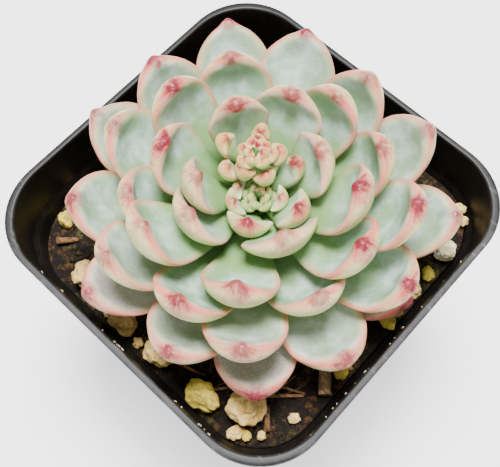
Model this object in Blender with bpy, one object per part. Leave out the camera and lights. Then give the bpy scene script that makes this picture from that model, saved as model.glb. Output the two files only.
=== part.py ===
"""A rosette succulent growing in a square black nursery pot.

Run in Blender: blender --background --python part.py
Metres, +Z up. The origin is the centre of the pot's base, on the surface that it stands on.
The pot's sides lie along X and Y. Angles are in degrees, anticlockwise from +X seen from above.
"""

import math

import bmesh
import bpy
import numpy as np
from mathutils import Vector, noise
from mathutils.bvhtree import BVHTree

MM = 0.001

# --- Pot: a moulded square tub, its corners rounded, with a rim bead and a stacking step inside ---
POT_SIDE = 85.0 * MM  # across the outside of the rim bead
POT_HEIGHT = 75.0 * MM
POT_BASE_SIDE = 63.0 * MM
POT_WALL = 1.1 * MM
POT_FLOOR = 1.4 * MM
POT_CORNER = 15.5 * MM  # corner radius at the rim
RIM_OVERHANG = 0.5 * MM  # how far the bead stands out from the wall
RIM_DEPTH = 3.0 * MM
RIM_ROUND = 0.5 * MM
STEP_DEPTH = 13.0 * MM  # from the rim down to the stacking step
STEP_WIDTH = 1.0 * MM
BAND_TAPER = 3.0  # degrees, the wall's lean above the step
DRAIN_HOLE = 7.0 * MM  # diameter
DRAIN_SPACING = 34.0 * MM

# --- Soil: fills the pot to below the step, a little higher towards one corner ---
SEAT_GAP = 0.3 * MM  # left between pieces that rest on each other
SOIL_DROP = 15.0 * MM  # from the rim down to the soil at the stem
SOIL_RISE = 0.045  # slope of the soil's surface
SOIL_RISE_TOWARDS = 44.0

# --- Stem and rosette ---
ROSETTE_OFFSET = (0.4 * MM, 1.0 * MM)  # the stem's place beside the pot's centre
STEM_FOOT_RADIUS = 5.4 * MM
STEM_TOP_RADIUS = 3.0 * MM
STEM_TOP = 7.2 * MM  # above the rim
LOWEST_BASE = 3.0 * MM  # lowest leaf base above the soil
HIGHEST_BASE = 6.8 * MM  # highest leaf base above the rim
LEAF_GAP = 0.1 * MM  # kept round every leaf while they are set on each other
LEAF_THICK = 4.1 * MM  # oldest leaf
LEAF_THICK_YOUNG = 3.3 * MM
LEAF_CURL = 36.0  # degrees that the oldest leaf bends up by from its base to its tip
LEAF_CURL_MORE = 12.0  # added for the youngest
LEAF_HOOK = 20.0  # degrees more that the end of the oldest leaf bends up by
LEAF_HOOK_MORE = 46.0  # added for a leaf half grown, and for all younger
HOOKED_TO = 0.7  # share of the rosette, from the oldest, over which that rises
LEAF_CUP = 0.34  # how far the margins rise over the middle, in half breadths
LEAF_BLUNT = 2.2  # outline's power at the tip: 2 is an ellipse, and more is blunter
YOUNG_FROM = 0.6  # share of the rosette, from the oldest, that is as blunt as that
LEAF_BLUNT_LOSS = 1.0  # how fast the youngest grow more pointed than that
LEAF_TIP_SPINE = 1.0 * MM
LIFT_STEP = 0.25 * MM
MOST_LIFTS = 120

# Oldest first: the way that each leaf points in degrees, then its tip's distance from the stem's axis,
# its tip's height above the rim and its breadth, in millimetres. The tips form a low dome.
LEAVES = (
    (10, 37.5, -5.0, 17.5),
    (312, 40.5, 0.0, 17.5),
    (141, 47.0, 1.0, 18.5),
    (35, 41.0, 7.5, 17.5),
    (194, 40.0, 6.0, 17.5),
    (254, 40.0, 4.0, 17.0),
    (60, 36.5, 14.0, 16.5),
    (117, 41.5, 6.0, 18.5),
    (170, 36.0, 12.0, 17.5),
    (286, 37.5, 8.0, 17.5),
    (339, 38.5, 5.5, 17.5),
    (227, 37.5, 10.0, 17.5),
    (85, 31.0, 17.0, 16.0),
    (308, 34.5, 15.0, 17.0),
    (253, 33.0, 15.0, 17.0),
    (7, 36.0, 10.5, 17.5),
    (201, 31.0, 15.0, 17.0),
    (28, 31.0, 18.0, 16.0),
    (338, 27.0, 14.0, 16.5),
    (284, 29.5, 17.5, 16.5),
    (144, 27.0, 16.0, 16.5),
    (52, 24.5, 18.5, 14.5),
    (178, 23.0, 21.0, 15.5),
    (230, 25.5, 14.5, 16.0),
    (85, 21.0, 21.0, 14.5),
    (3, 25.0, 19.0, 16.0),
    (304, 24.0, 19.0, 15.5),
    (255, 24.5, 21.5, 16.0),
    (25, 19.5, 22.5, 15.5),
    (207, 18.5, 19.5, 15.5),
    (334, 14.0, 15.5, 16.0),
    (108, 16.5, 20.0, 15.0),
    (258, 15.5, 16.5, 15.0),
    (58, 12.5, 16.0, 14.5),
    (151, 12.5, 21.0, 13.0),
    (238, 11.5, 21.5, 12.0),
)

# --- Two growing points: the heart, deep in the rosette, and a raised offshoot behind it ---
# Their outer leaves are given as the rosette's are, about their own axes.
HEART_AT = (1.6 * MM, -1.6 * MM)  # beside the stem's axis
HEART_BASE = 7.6 * MM  # above the rim
HEART_LEAVES = (
    (298, 7.0, 14.0, 9.5),
    (12, 9.0, 15.5, 9.5),
    (75, 8.5, 16.0, 5.5),
    (249, 5.2, 13.0, 6.5),
    (25, 4.8, 12.5, 6.0),
    (205, 3.8, 12.0, 5.0),
)
HEART_BUD_REACH = 2.3 * MM
HEART_BUD_TOP = 11.0 * MM
OFFSHOOT_AT = (-3.0 * MM, 2.8 * MM)
OFFSHOOT_BASE = 10.5 * MM
OFFSHOOT_LEAVES = (
    (246, 5.8, 15.5, 5.0),
    (202, 6.0, 17.0, 5.0),
    (119, 4.4, 17.5, 4.0),
    (339, 4.2, 15.5, 5.0),
    (47, 4.4, 17.0, 5.0),
    (280, 3.8, 16.5, 4.6),
)
BUD_LEAVES = 6
BUD_CORE_REACH = 0.75  # of the bud's reach
BUD_FIRST_LEAF = 40.0  # degrees
BUD_LEAF_BASES = (0.35, 0.55)  # heights of the first and last leaf's base, as shares of the bud's
BUD_LEAF_REACH = (1.0, 0.4)  # reach of the first and last leaf, as shares of the bud's
BUD_LEAF_BREADTH = (1.5, 1.0)
BUD_LEAF_THICK = 0.6
BUD_LEAF_RISE = 0.8 * MM  # of the last leaf's tip over the first's
BUD_LEAF_FROM = 0.2 * MM  # from the bud's axis to each leaf's base
OFFSHOOT_BUD_REACH = 2.0 * MM
OFFSHOOT_BUD_TOP = 18.5 * MM
GOLDEN_ANGLE = 137.5  # between each bud leaf and the next
SMALL_LEAF_THICK = 1.6 * MM
SMALL_LEAF_SPACING = 0.7 * MM  # height from each small leaf's base to the next
SMALL_LEAF_CURL = 55.0
SMALL_LEAF_HOOK = 45.0
SMALL_LEAF_CUP = 0.4
SMALL_LEAF_BLUNT = 1.8

# --- Loose grains on the soil: the place from the pot's centre (0) to the wall (1) along X and Y, ---
# --- the half sizes in millimetres, and the number that its lumps are drawn from ---
STONES = {
    "pumice_cream_left": ((-0.60, -0.96), (3.3, 3.0, 2.6), 3),
    "pumice_cream_mid": ((-0.17, -0.98), (3.2, 2.5, 2.4), 11),
    "pumice_cream_low": ((0.13, -0.99), (3.3, 3.0, 2.6), 5),
    "pumice_yellow": ((0.52, -0.99), (3.6, 2.6, 2.4), 8),
    "pumice_cream_large": ((0.77, -0.89), (4.2, 3.8, 2.8), 21),
    "pumice_white_right": ((1.0, 0.69), (2.3, 2.6, 2.2), 34),
}
BARK_FROM = (0.89, -0.33)
BARK_TO = (1.0, -0.48)
BARK_RADIUS = 1.5 * MM
BARK_TAPER = 0.85  # of the radius, at the thin end
STONE_LUMPS = 0.3  # how far the lumps stand out, as a share of the stone's half size
STONE_LUMP_SCALE = 1.3  # how close together they are

# --- Facets ---
LEAF_AROUND = 12
LEAF_ALONG = 9
BUD_LEAF_AROUND = 8
BUD_LEAF_ALONG = 6
BUD_CORE_AROUND = 12
BUD_CORE_ALONG = 8
HOLE_AROUND = 16
STEM_AROUND = 20
BARK_AROUND = 9
CORNER_SEGMENTS = 7
CURVE_STEPS = 121


def rim_height(rise):
    return POT_HEIGHT + rise


def soil_height(x, y):
    towards = math.radians(SOIL_RISE_TOWARDS)
    along = x * math.cos(towards) + y * math.sin(towards)
    return POT_HEIGHT - SOIL_DROP + SOIL_RISE * along


# --- Scene ---


def clear_scene():
    for obj in list(bpy.data.objects):
        bpy.data.objects.remove(obj, do_unlink=True)


def new_collection(name):
    collection = bpy.data.collections.new(name)
    bpy.context.scene.collection.children.link(collection)
    return collection


def srgb(code):
    """Linear RGBA from a six-digit colour code."""
    channels = [int(code[i : i + 2], 16) / 255 for i in (0, 2, 4)]
    linear = [c / 12.92 if c <= 0.04045 else ((c + 0.055) / 1.055) ** 2.4 for c in channels]
    return (*linear, 1.0)


def new_material(name, code, roughness):
    material = bpy.data.materials.new(name)
    material.use_nodes = True
    shader = material.node_tree.nodes["Principled BSDF"]
    shader.inputs["Base Color"].default_value = srgb(code)
    shader.inputs["Roughness"].default_value = roughness
    shader.inputs["Metallic"].default_value = 0.0
    return material


def new_object(name, bm, collection, material=None):
    """Turns a bmesh into an object, its faces out."""
    bmesh.ops.recalc_face_normals(bm, faces=bm.faces[:])
    mesh = bpy.data.meshes.new(name)
    bm.to_mesh(mesh)
    bm.free()
    mesh.shade_smooth()
    obj = bpy.data.objects.new(name, mesh)
    collection.objects.link(obj)
    if material:
        mesh.materials.append(material)
    return obj


def helper(obj):
    obj.hide_render = True
    obj.display_type = "WIRE"
    return obj


def apply_boolean(obj, other, operation, solver="EXACT"):
    modifier = obj.modifiers.new(other.name, "BOOLEAN")
    modifier.operation = operation
    modifier.solver = solver
    modifier.object = other


# --- Pot ---


def pot_half_sides():
    """The wall's outer half side at the base, under the step, over the step and under the rim."""
    rim = POT_SIDE / 2 - RIM_OVERHANG
    over = rim - STEP_DEPTH * math.tan(math.radians(BAND_TAPER))
    return POT_BASE_SIDE / 2, over - STEP_WIDTH, over, rim


def inner_half_side(z):
    """Half the distance between the walls' inner faces at height z, from the floor to the step."""
    base, under, _, _ = pot_half_sides()
    step = POT_HEIGHT - STEP_DEPTH - STEP_WIDTH + POT_WALL / 2
    share = (z - POT_FLOOR) / (step - POT_FLOOR)
    return base + (under - base) * share - POT_WALL


def square_loft(levels, corner):
    """A solid through rounded squares, one for each (height, half side)."""
    bm = bmesh.new()
    bmesh.ops.create_grid(bm, x_segments=1, y_segments=1, size=1.0)
    bmesh.ops.bevel(
        bm,
        geom=bm.verts[:],
        offset=corner,
        offset_type="OFFSET",
        segments=CORNER_SEGMENTS,
        profile=0.5,
        affect="VERTICES",
        material=-1,
    )
    height, half = levels[0]
    bmesh.ops.scale(bm, vec=(half, half, 1), verts=bm.verts[:])
    bmesh.ops.translate(bm, vec=(0, 0, height), verts=bm.verts[:])
    edges = [edge for edge in bm.edges if edge.is_boundary]
    for next_height, next_half in levels[1:]:
        made = bmesh.ops.extrude_edge_only(bm, edges=edges)["geom"]
        verts = [item for item in made if isinstance(item, bmesh.types.BMVert)]
        edges = [item for item in made if isinstance(item, bmesh.types.BMEdge) and item.is_boundary]
        bmesh.ops.scale(bm, vec=(next_half / half, next_half / half, 1), verts=verts)
        bmesh.ops.translate(bm, vec=(0, 0, next_height - height), verts=verts)
        height, half = next_height, next_half
    bmesh.ops.edgeloop_fill(bm, edges=edges)
    return bm


def make_pot(collection, cutters):
    base, under, over, rim = pot_half_sides()
    top = POT_HEIGHT
    step = top - STEP_DEPTH
    outer = [
        (0.0, base - RIM_ROUND),
        (RIM_ROUND, base),
        (step - STEP_WIDTH, under),
        (step, over),
        (top - RIM_DEPTH, rim),
        (top - RIM_DEPTH, POT_SIDE / 2),
        (top - RIM_ROUND, POT_SIDE / 2),
        (top, POT_SIDE / 2 - RIM_ROUND),
    ]
    inner = [
        (top, rim - POT_WALL + RIM_ROUND),
        (top - RIM_ROUND, rim - POT_WALL),
        (step + POT_WALL / 2, over - POT_WALL),
        (step - STEP_WIDTH + POT_WALL / 2, under - POT_WALL),
        (POT_FLOOR, base - POT_WALL),
    ]
    bm = square_loft(outer + inner, POT_CORNER / (POT_SIDE / 2))
    pot = new_object("pot", bm, collection, new_material("black_polypropylene", "1B1A19", 0.45))
    spots = [(0, 0)] + [(x, y) for x in (-0.5, 0.5) for y in (-0.5, 0.5)]
    for number, (x, y) in enumerate(spots, 1):
        bm = bmesh.new()
        bmesh.ops.create_cone(
            bm,
            cap_ends=True,
            segments=HOLE_AROUND,
            radius1=DRAIN_HOLE / 2,
            radius2=DRAIN_HOLE / 2,
            depth=POT_FLOOR * 4,
        )
        bmesh.ops.translate(bm, vec=(x * DRAIN_SPACING, y * DRAIN_SPACING, 0), verts=bm.verts[:])
        cutter = helper(new_object(f"drain_cutter_{number}", bm, cutters))
        apply_boolean(pot, cutter, "DIFFERENCE")
    return pot


def make_soil(collection):
    bottom = POT_FLOOR + SEAT_GAP
    top = POT_HEIGHT - SOIL_DROP
    bm = square_loft(
        [(z, inner_half_side(z) - SEAT_GAP) for z in (bottom, top)],
        POT_CORNER / (POT_SIDE / 2),
    )
    for vert in bm.verts:
        if vert.co.z > (bottom + top) / 2:
            z = soil_height(vert.co.x, vert.co.y)
            scale = (inner_half_side(z) - SEAT_GAP) / (inner_half_side(top) - SEAT_GAP)
            vert.co = Vector((vert.co.x * scale, vert.co.y * scale, z))
    return new_object("soil", bm, collection, new_material("peat_soil", "2A1F17", 0.95))


# --- Leaves ---


def centre_line(curl, hook):
    """Unit-length curve in a leaf's own plane: x out, z up, and its slope, starting level.

    curl is its even bend from base to tip, and hook the sharper bend of its end, in degrees."""
    curl_power, hook_power, hook_from = 1.4, 1.5, 0.6
    s = np.linspace(0, 1, CURVE_STEPS)
    end = np.clip((s - hook_from) / (1 - hook_from), 0, 1)
    slope = np.radians(curl * s**curl_power + hook * end**hook_power)
    step = 1 / (CURVE_STEPS - 1)
    x = np.concatenate([[0], np.cumsum((np.cos(slope[1:]) + np.cos(slope[:-1])) / 2) * step])
    z = np.concatenate([[0], np.cumsum((np.sin(slope[1:]) + np.sin(slope[:-1])) / 2) * step])
    return s, x, z, slope


def smooth_rise(low, high, value):
    t = min(1.0, max(0.0, (value - low) / (high - low)))
    return t * t * (3 - 2 * t)


def half_breadth(s, blunt):
    """A spoon's outline: a narrow base, widest near the tip, and a blunt end."""
    base, widest, swell = 0.30, 0.72, 1.5
    if s < widest:
        return base + (1 - base) * math.sin(math.pi / 2 * s / widest) ** swell
    t = (s - widest) / (1 - widest)
    return max(0.0, 1 - t**blunt) ** (1 / blunt)


def ring_spacing(ring):
    """How far along the leaf a ring of points lies: closer together towards the tip."""
    even, closer = 0.35, 1.7
    return even * (1 - math.cos(math.pi * ring)) / 2 + (1 - even) * (1 - (1 - ring) ** closer)


def signed_power(value, power):
    return math.copysign(abs(value) ** power, value)


def leaf_shape(leaf, grow=0.0, around=LEAF_AROUND, length_rings=LEAF_ALONG):
    """A closed spoon-shaped leaf as a bmesh. grow swells it by that much all round."""
    full_from, base_thick, tip_round = 0.45, 0.6, 0.55
    margin_power, face_power = 0.8, 1.05
    above, below = 0.42, 0.58
    s, x, z, slope = centre_line(leaf["curl"], leaf["hook"])
    run = leaf["reach"] - leaf["base_reach"]
    rise = leaf["tip_height"] - leaf["base_height"]
    length = math.hypot(run, rise) / math.hypot(x[-1], z[-1])
    start = math.atan2(rise, run) - math.atan2(z[-1], x[-1])
    out = Vector((math.cos(math.radians(leaf["azimuth"])), math.sin(math.radians(leaf["azimuth"])), 0))
    side = Vector((-out.y, out.x, 0))
    up = Vector((0, 0, 1))
    origin = Vector((*leaf["axis"], 0))
    thick = leaf["thick"] + 2 * grow
    half = leaf["breadth"] / 2 + grow
    round_from = 1 - tip_round * thick / length
    bm = bmesh.new()
    bmesh.ops.create_uvsphere(bm, u_segments=around, v_segments=length_rings, radius=1.0)
    for vert in bm.verts:
        ring = math.acos(min(1.0, max(-1.0, -vert.co.z))) / math.pi
        along = ring_spacing(ring)
        turn = math.atan2(vert.co.y, vert.co.x)
        bend = start + np.interp(along, s, slope)
        centre_x = np.interp(along, s, x) * length
        centre_z = np.interp(along, s, z) * length
        centre = (
            origin
            + out * (leaf["base_reach"] + centre_x * math.cos(start) - centre_z * math.sin(start))
            + up * (leaf["base_height"] + centre_x * math.sin(start) + centre_z * math.cos(start))
        )
        face = -out * math.sin(bend) + up * math.cos(bend)
        forward = out * math.cos(bend) + up * math.sin(bend)
        if ring < 1e-4:
            vert.co = centre - forward * grow
        elif ring > 1 - 1e-4:
            vert.co = centre + forward * (leaf["spine"] + grow)
        else:
            breadth = half * half_breadth(along, leaf["blunt"])
            depth = thick * (base_thick + (1 - base_thick) * smooth_rise(0, full_from, along))
            if along > round_from:
                depth *= math.sqrt(max(0.0, 1 - ((along - round_from) / (1 - round_from)) ** 2))
            across = signed_power(math.cos(turn), margin_power)
            through = signed_power(math.sin(turn), face_power)
            cup = leaf["cup"] * smooth_rise(0.1, 0.7, along) * breadth**2 / half * across**2
            rise_of_face = cup + depth * through * (above if through > 0 else below)
            vert.co = centre + side * breadth * across + face * rise_of_face
    bmesh.ops.recalc_face_normals(bm, faces=bm.faces[:])
    return bm


def tree_of(bm):
    bm.verts.ensure_lookup_table()
    return BVHTree.FromBMesh(bm, epsilon=0.0)


def tree_of_object(obj):
    graph = bpy.context.evaluated_depsgraph_get()
    return BVHTree.FromObject(obj, graph)


def clear_of(bm, standing):
    tree = tree_of(bm)
    bm.free()
    return not any(tree.overlap(other) for other in standing)


def settle(leaf, standing, lifted=("tip_height",)):
    """Lifts the leaf's tip, or all of it, until it lies clear on what already stands there."""
    for _ in range(MOST_LIFTS):
        if clear_of(leaf_shape(leaf, grow=LEAF_GAP), standing):
            break
        for height in lifted:
            leaf[height] += LIFT_STEP
    bm = leaf_shape(leaf)
    standing.append(tree_of(bm))
    return bm


def stem_radius(z):
    foot = soil_height(*ROSETTE_OFFSET)
    share = (z - foot) / (rim_height(STEM_TOP) - foot)
    return STEM_FOOT_RADIUS + (STEM_TOP_RADIUS - STEM_FOOT_RADIUS) * share


def rosette_leaf(number, azimuth, reach, height, breadth):
    age = number / (len(LEAVES) - 1)
    lowest = soil_height(*ROSETTE_OFFSET) + LOWEST_BASE
    base_height = lowest + (rim_height(HIGHEST_BASE) - lowest) * age
    return {
        "axis": ROSETTE_OFFSET,
        "azimuth": azimuth,
        "base_reach": stem_radius(base_height) + SEAT_GAP,
        "base_height": base_height,
        "reach": reach * MM,
        "tip_height": rim_height(height * MM),
        "breadth": breadth * MM,
        "thick": LEAF_THICK + (LEAF_THICK_YOUNG - LEAF_THICK) * age,
        "curl": LEAF_CURL + LEAF_CURL_MORE * age,
        "hook": LEAF_HOOK + LEAF_HOOK_MORE * min(1.0, age / HOOKED_TO),
        "cup": LEAF_CUP,
        "blunt": LEAF_BLUNT - LEAF_BLUNT_LOSS * max(0.0, age - YOUNG_FROM),
        "spine": LEAF_TIP_SPINE,
    }


def small_leaf(axis, base_height, azimuth, reach, height, breadth, thick, base_reach):
    """A short upright leaf of the heart or the offshoot."""
    return {
        "axis": axis,
        "azimuth": azimuth,
        "base_reach": base_reach + SEAT_GAP,
        "base_height": rim_height(base_height),
        "reach": reach,
        "tip_height": rim_height(height),
        "breadth": breadth,
        "thick": thick,
        "curl": SMALL_LEAF_CURL,
        "hook": SMALL_LEAF_HOOK,
        "cup": SMALL_LEAF_CUP,
        "blunt": SMALL_LEAF_BLUNT,
        "spine": LEAF_TIP_SPINE / 2,
    }


def make_rosette(collection, standing):
    material = new_material("glaucous_leaf", "A9BFA6", 0.55)
    for number, row in enumerate(LEAVES):
        bm = settle(rosette_leaf(number, *row), standing)
        new_object(f"leaf_{number + 1:02d}", bm, collection, material)


def beside_stem(offset):
    return (ROSETTE_OFFSET[0] + offset[0], ROSETTE_OFFSET[1] + offset[1])


def make_stem(collection, standing):
    foot = soil_height(*ROSETTE_OFFSET) + SEAT_GAP + SOIL_RISE * STEM_FOOT_RADIUS
    top = rim_height(STEM_TOP)
    bm = bmesh.new()
    bmesh.ops.create_cone(
        bm,
        cap_ends=True,
        segments=STEM_AROUND,
        radius1=stem_radius(foot),
        radius2=stem_radius(top),
        depth=top - foot,
    )
    bmesh.ops.translate(bm, vec=(*ROSETTE_OFFSET, (foot + top) / 2), verts=bm.verts[:])
    stem = new_object("stem", bm, collection, new_material("green_stem", "8A9466", 0.6))
    standing.append(tree_of_object(stem))


def between(ends, share):
    return ends[0] + (ends[1] - ends[0]) * share


def bud_core(axis, base, top, reach):
    """The egg-shaped middle of a bud."""
    bm = bmesh.new()
    bmesh.ops.create_uvsphere(bm, u_segments=BUD_CORE_AROUND, v_segments=BUD_CORE_ALONG, radius=0.5)
    wide = 2 * BUD_CORE_REACH * reach
    bmesh.ops.scale(bm, vec=(wide, wide, top - base), verts=bm.verts[:])
    bmesh.ops.translate(bm, vec=(*axis, rim_height((base + top) / 2)), verts=bm.verts[:])
    return bm


def make_bud(name, axis, top, reach, helpers, material, standing):
    """A tight bud on the stem: leaves grown to one core, each a golden angle on from the last."""
    collection, cutters = helpers
    base = STEM_TOP + SEAT_GAP
    for _ in range(MOST_LIFTS):
        if clear_of(bud_core(axis, base - LEAF_GAP, top, reach), standing):
            break
        base += LIFT_STEP
    bud = new_object(name, bud_core(axis, base, top, reach), collection, material)
    for number in range(BUD_LEAVES):
        share = number / (BUD_LEAVES - 1)
        leaf = small_leaf(
            axis,
            base + (top - base) * between(BUD_LEAF_BASES, share),
            BUD_FIRST_LEAF - GOLDEN_ANGLE * number,
            reach * between(BUD_LEAF_REACH, share),
            top + BUD_LEAF_RISE * share,
            reach * between(BUD_LEAF_BREADTH, share),
            reach * BUD_LEAF_THICK,
            BUD_LEAF_FROM,
        )
        bm = leaf_shape(leaf, around=BUD_LEAF_AROUND, length_rings=BUD_LEAF_ALONG)
        piece = new_object(f"{name}_leaf_{number + 1}", bm, cutters)
        apply_boolean(bud, helper(piece), "UNION", solver="MANIFOLD")
    standing.append(tree_of_object(bud))


def make_small_leaves(name, axis, base, rows, base_reach, collection, material, standing):
    for number, (azimuth, reach, height, breadth) in enumerate(rows, 1):
        leaf = small_leaf(
            axis,
            base + SMALL_LEAF_SPACING * (number - len(rows) / 2),
            azimuth,
            reach * MM,
            height * MM,
            breadth * MM,
            SMALL_LEAF_THICK,
            base_reach,
        )
        bm = settle(leaf, standing, lifted=("tip_height", "base_height"))
        new_object(f"{name}_leaf_{number}", bm, collection, material)


def make_growing_points(collection, cutters, standing):
    green = new_material("young_leaf", "A7B98C", 0.55)
    blushed = new_material("blushed_young_leaf", "E0BF95", 0.55)
    heart = beside_stem(HEART_AT)
    offshoot = beside_stem(OFFSHOOT_AT)
    helpers = (collection, cutters)
    make_bud("heart_bud", heart, HEART_BUD_TOP, HEART_BUD_REACH, helpers, green, standing)
    make_bud("offshoot_bud", offshoot, OFFSHOOT_BUD_TOP, OFFSHOOT_BUD_REACH, helpers, blushed, standing)
    heart = (heart, HEART_BASE, HEART_LEAVES, HEART_BUD_REACH)
    make_small_leaves("heart", *heart, collection, green, standing)
    offshoot = (offshoot, OFFSHOOT_BASE, OFFSHOOT_LEAVES, OFFSHOOT_BUD_REACH)
    make_small_leaves("offshoot", *offshoot, collection, blushed, standing)


# --- Grains and bark on the soil ---


def place_in_pot(share, half_size):
    """A coordinate on the soil: 0 is the pot's centre, and at 1 a piece that size is clear of the wall."""
    return share * (inner_half_side(POT_HEIGHT - SOIL_DROP) - half_size - SEAT_GAP)


def seat_on_soil(bm, standing):
    """Rests the piece the seat gap above the soil, or higher where another piece lies under it."""
    lowest = min(vert.co.z - soil_height(vert.co.x, vert.co.y) for vert in bm.verts)
    bmesh.ops.translate(bm, vec=(0, 0, SEAT_GAP - lowest), verts=bm.verts[:])
    for _ in range(MOST_LIFTS):
        tree = tree_of(bm)
        if not any(tree.overlap(other) for other in standing):
            break
        bmesh.ops.translate(bm, vec=(0, 0, LIFT_STEP), verts=bm.verts[:])
    standing.append(tree)


def make_stones(collection, standing):
    colours = {"cream": "D9C79A", "yellow": "CDBB5A", "white": "DDD8C0"}
    for name, (shares, sizes, seed) in STONES.items():
        half_sizes = Vector(sizes) * MM
        bm = bmesh.new()
        bmesh.ops.create_icosphere(bm, subdivisions=2, radius=1.0)
        for vert in bm.verts:
            lump = noise.noise(vert.co * STONE_LUMP_SCALE + Vector((seed, 0, 0)))
            vert.co = vert.co * (1 + STONE_LUMPS * lump) * half_sizes
        x, y = (place_in_pot(share, half) for share, half in zip(shares, half_sizes))
        bmesh.ops.translate(bm, vec=(x, y, 0), verts=bm.verts[:])
        seat_on_soil(bm, standing)
        material = new_material(name, colours[name.split("_")[1]], 0.9)
        new_object(name, bm, collection, material)


def make_bark(collection, standing):
    start = Vector([place_in_pot(share, BARK_RADIUS) for share in BARK_FROM] + [0])
    end = Vector([place_in_pot(share, BARK_RADIUS) for share in BARK_TO] + [0])
    bm = bmesh.new()
    bmesh.ops.create_cone(
        bm,
        cap_ends=True,
        segments=BARK_AROUND,
        radius1=BARK_RADIUS,
        radius2=BARK_RADIUS * BARK_TAPER,
        depth=(end - start).length,
    )
    turn = Vector((0, 0, 1)).rotation_difference(end - start)
    bmesh.ops.rotate(bm, matrix=turn.to_matrix(), verts=bm.verts[:])
    bmesh.ops.translate(bm, vec=(start + end) / 2, verts=bm.verts[:])
    seat_on_soil(bm, standing)
    new_object("bark_stick", bm, collection, new_material("pine_bark", "8A5A34", 0.85))


def main():
    clear_scene()
    collection = new_collection("potted_succulent")
    cutters = new_collection("cutters")
    pot = make_pot(collection, cutters)
    soil = make_soil(collection)
    standing = [tree_of_object(pot), tree_of_object(soil)]
    make_stones(collection, standing)
    make_bark(collection, standing)
    make_stem(collection, standing)
    make_rosette(collection, standing)
    make_growing_points(collection, cutters, standing)


main()
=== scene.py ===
"""A rosette succulent in a square black nursery pot, with its soil and grains, and the stage it stands on.

Lengths are in metres and angles in degrees, in the part's own frame: Z is up, the pot's sides lie along
X and Y, and the origin is the centre of the pot's base."""

import math
import random

import bmesh
import bpy
import numpy as np
from bpy.props import FloatProperty, FloatVectorProperty, PointerProperty
from mathutils import Matrix, Vector, noise


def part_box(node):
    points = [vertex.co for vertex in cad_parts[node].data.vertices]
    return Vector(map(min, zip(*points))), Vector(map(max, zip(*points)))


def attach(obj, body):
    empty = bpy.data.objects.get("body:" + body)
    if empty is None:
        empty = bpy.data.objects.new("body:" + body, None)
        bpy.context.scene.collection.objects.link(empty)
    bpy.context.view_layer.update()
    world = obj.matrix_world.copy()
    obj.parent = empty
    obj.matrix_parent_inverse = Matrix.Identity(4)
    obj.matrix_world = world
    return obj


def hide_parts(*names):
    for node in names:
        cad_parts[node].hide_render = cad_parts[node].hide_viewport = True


bl_info = {
    "name": "Potted succulent",
    "version": (1, 0, 0),
    "blender": (4, 5, 0),
    "location": "3D View > Sidebar > Succulent",
    "description": "Grows a rosette succulent in a square nursery pot",
    "category": "Object",
}

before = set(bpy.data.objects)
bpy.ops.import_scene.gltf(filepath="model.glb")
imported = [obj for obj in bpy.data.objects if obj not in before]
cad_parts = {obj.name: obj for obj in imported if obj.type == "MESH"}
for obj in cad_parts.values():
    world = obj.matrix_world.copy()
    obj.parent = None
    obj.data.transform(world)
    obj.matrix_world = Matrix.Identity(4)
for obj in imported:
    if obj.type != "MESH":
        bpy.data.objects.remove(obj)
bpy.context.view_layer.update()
MM = 0.001
BODY = "root"
POT_LOW, POT_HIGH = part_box("pot")
SOIL_LOW, SOIL_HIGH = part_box("soil")

# The pot below its rim, as its CAD solid is made.
POT_FOOT = 31.5 * MM  # half the side of the foot
POT_FLOOR = 1.4 * MM
RIM_OVERHANG = 0.5 * MM
RIM_DEPTH = 3.0 * MM
STEP_DEPTH = 13.0 * MM
STEP_WIDTH = 1.0 * MM
BAND_TAPER = math.tan(math.radians(3))
DRAIN_RADIUS = 3.5 * MM
DRAIN_PLACE = 17 * MM  # of the outer four, along X and Y
SMALL_ROUND = 0.3 * MM

# Every leaf's form, the same as in its CAD solid. Shares are of its length, from the base.
CURL_POWER, HOOK_POWER, HOOK_FROM = 1.4, 1.5, 0.6
BASE_BREADTH, WIDEST_AT, SWELL = 0.30, 0.72, 1.5
BASE_THICKNESS, THICKEST_FROM = 0.6, 0.45
UPPER_SHARE, LOWER_SHARE = 0.42, 0.58  # of the thickness, over and under the middle
TIP_ROUNDING = 0.55  # length of the rounded end, in thicknesses
MARGIN_POWER, FACE_POWER = 0.8, 1.05
CUP_FROM, CUP_FULL = 0.1, 0.7
GOLDEN_ANGLE = 137.5  # degrees between a bud's leaves
noise.seed_set(7)  # so that the unevenness is the same each run

# What each point of a leaf carries for its material: shares along and across it, which face it is on,
# its distances from the tip and the margin, and the leaf's dust and painted shade, its own tone and how far it
# blushes.
LEAF_LAYERS = ("along", "across", "face", "tip_mm", "edge_mm", "dust", "tone", "blush")

# How dusty the lowest leaves are, over the little that all the old ones have. The dust also stands for painted
# shade: it dulls and darkens these leaves, which lie in the shade of those above.
DUSTED_AND_SHADED = {
    "leaf_01": 0.7,
    "leaf_02": 1.0,
    "leaf_06": 0.9,
    "leaf_10": 0.5,
    "leaf_11": 0.3,
    "leaf_14": 0.35,
    "leaf_15": 0.3,
}


# --- Small tools ---


def srgb(code):
    """Linear RGBA from a six-digit sRGB colour code."""
    channels = [int(code[i : i + 2], 16) / 255 for i in (0, 2, 4)]
    linear = [c / 12.92 if c <= 0.04045 else ((c + 0.055) / 1.055) ** 2.4 for c in channels]
    return (*linear, 1.0)


# Settings that a node of each kind has unless it is given others.
USUAL = {
    "Math": {"operation": "MULTIPLY", "use_clamp": True},
    "MapRange": {"interpolation_type": "SMOOTHSTEP"},
    "Mix": {"data_type": "RGBA"},
}


def fill(tree, sockets, values):
    """Links each named socket to the one given, or sets its value."""
    for key, value in values.items():
        if isinstance(value, bpy.types.NodeSocket):
            tree.links.new(value, sockets[key])
        else:
            sockets[key].default_value = value


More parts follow.
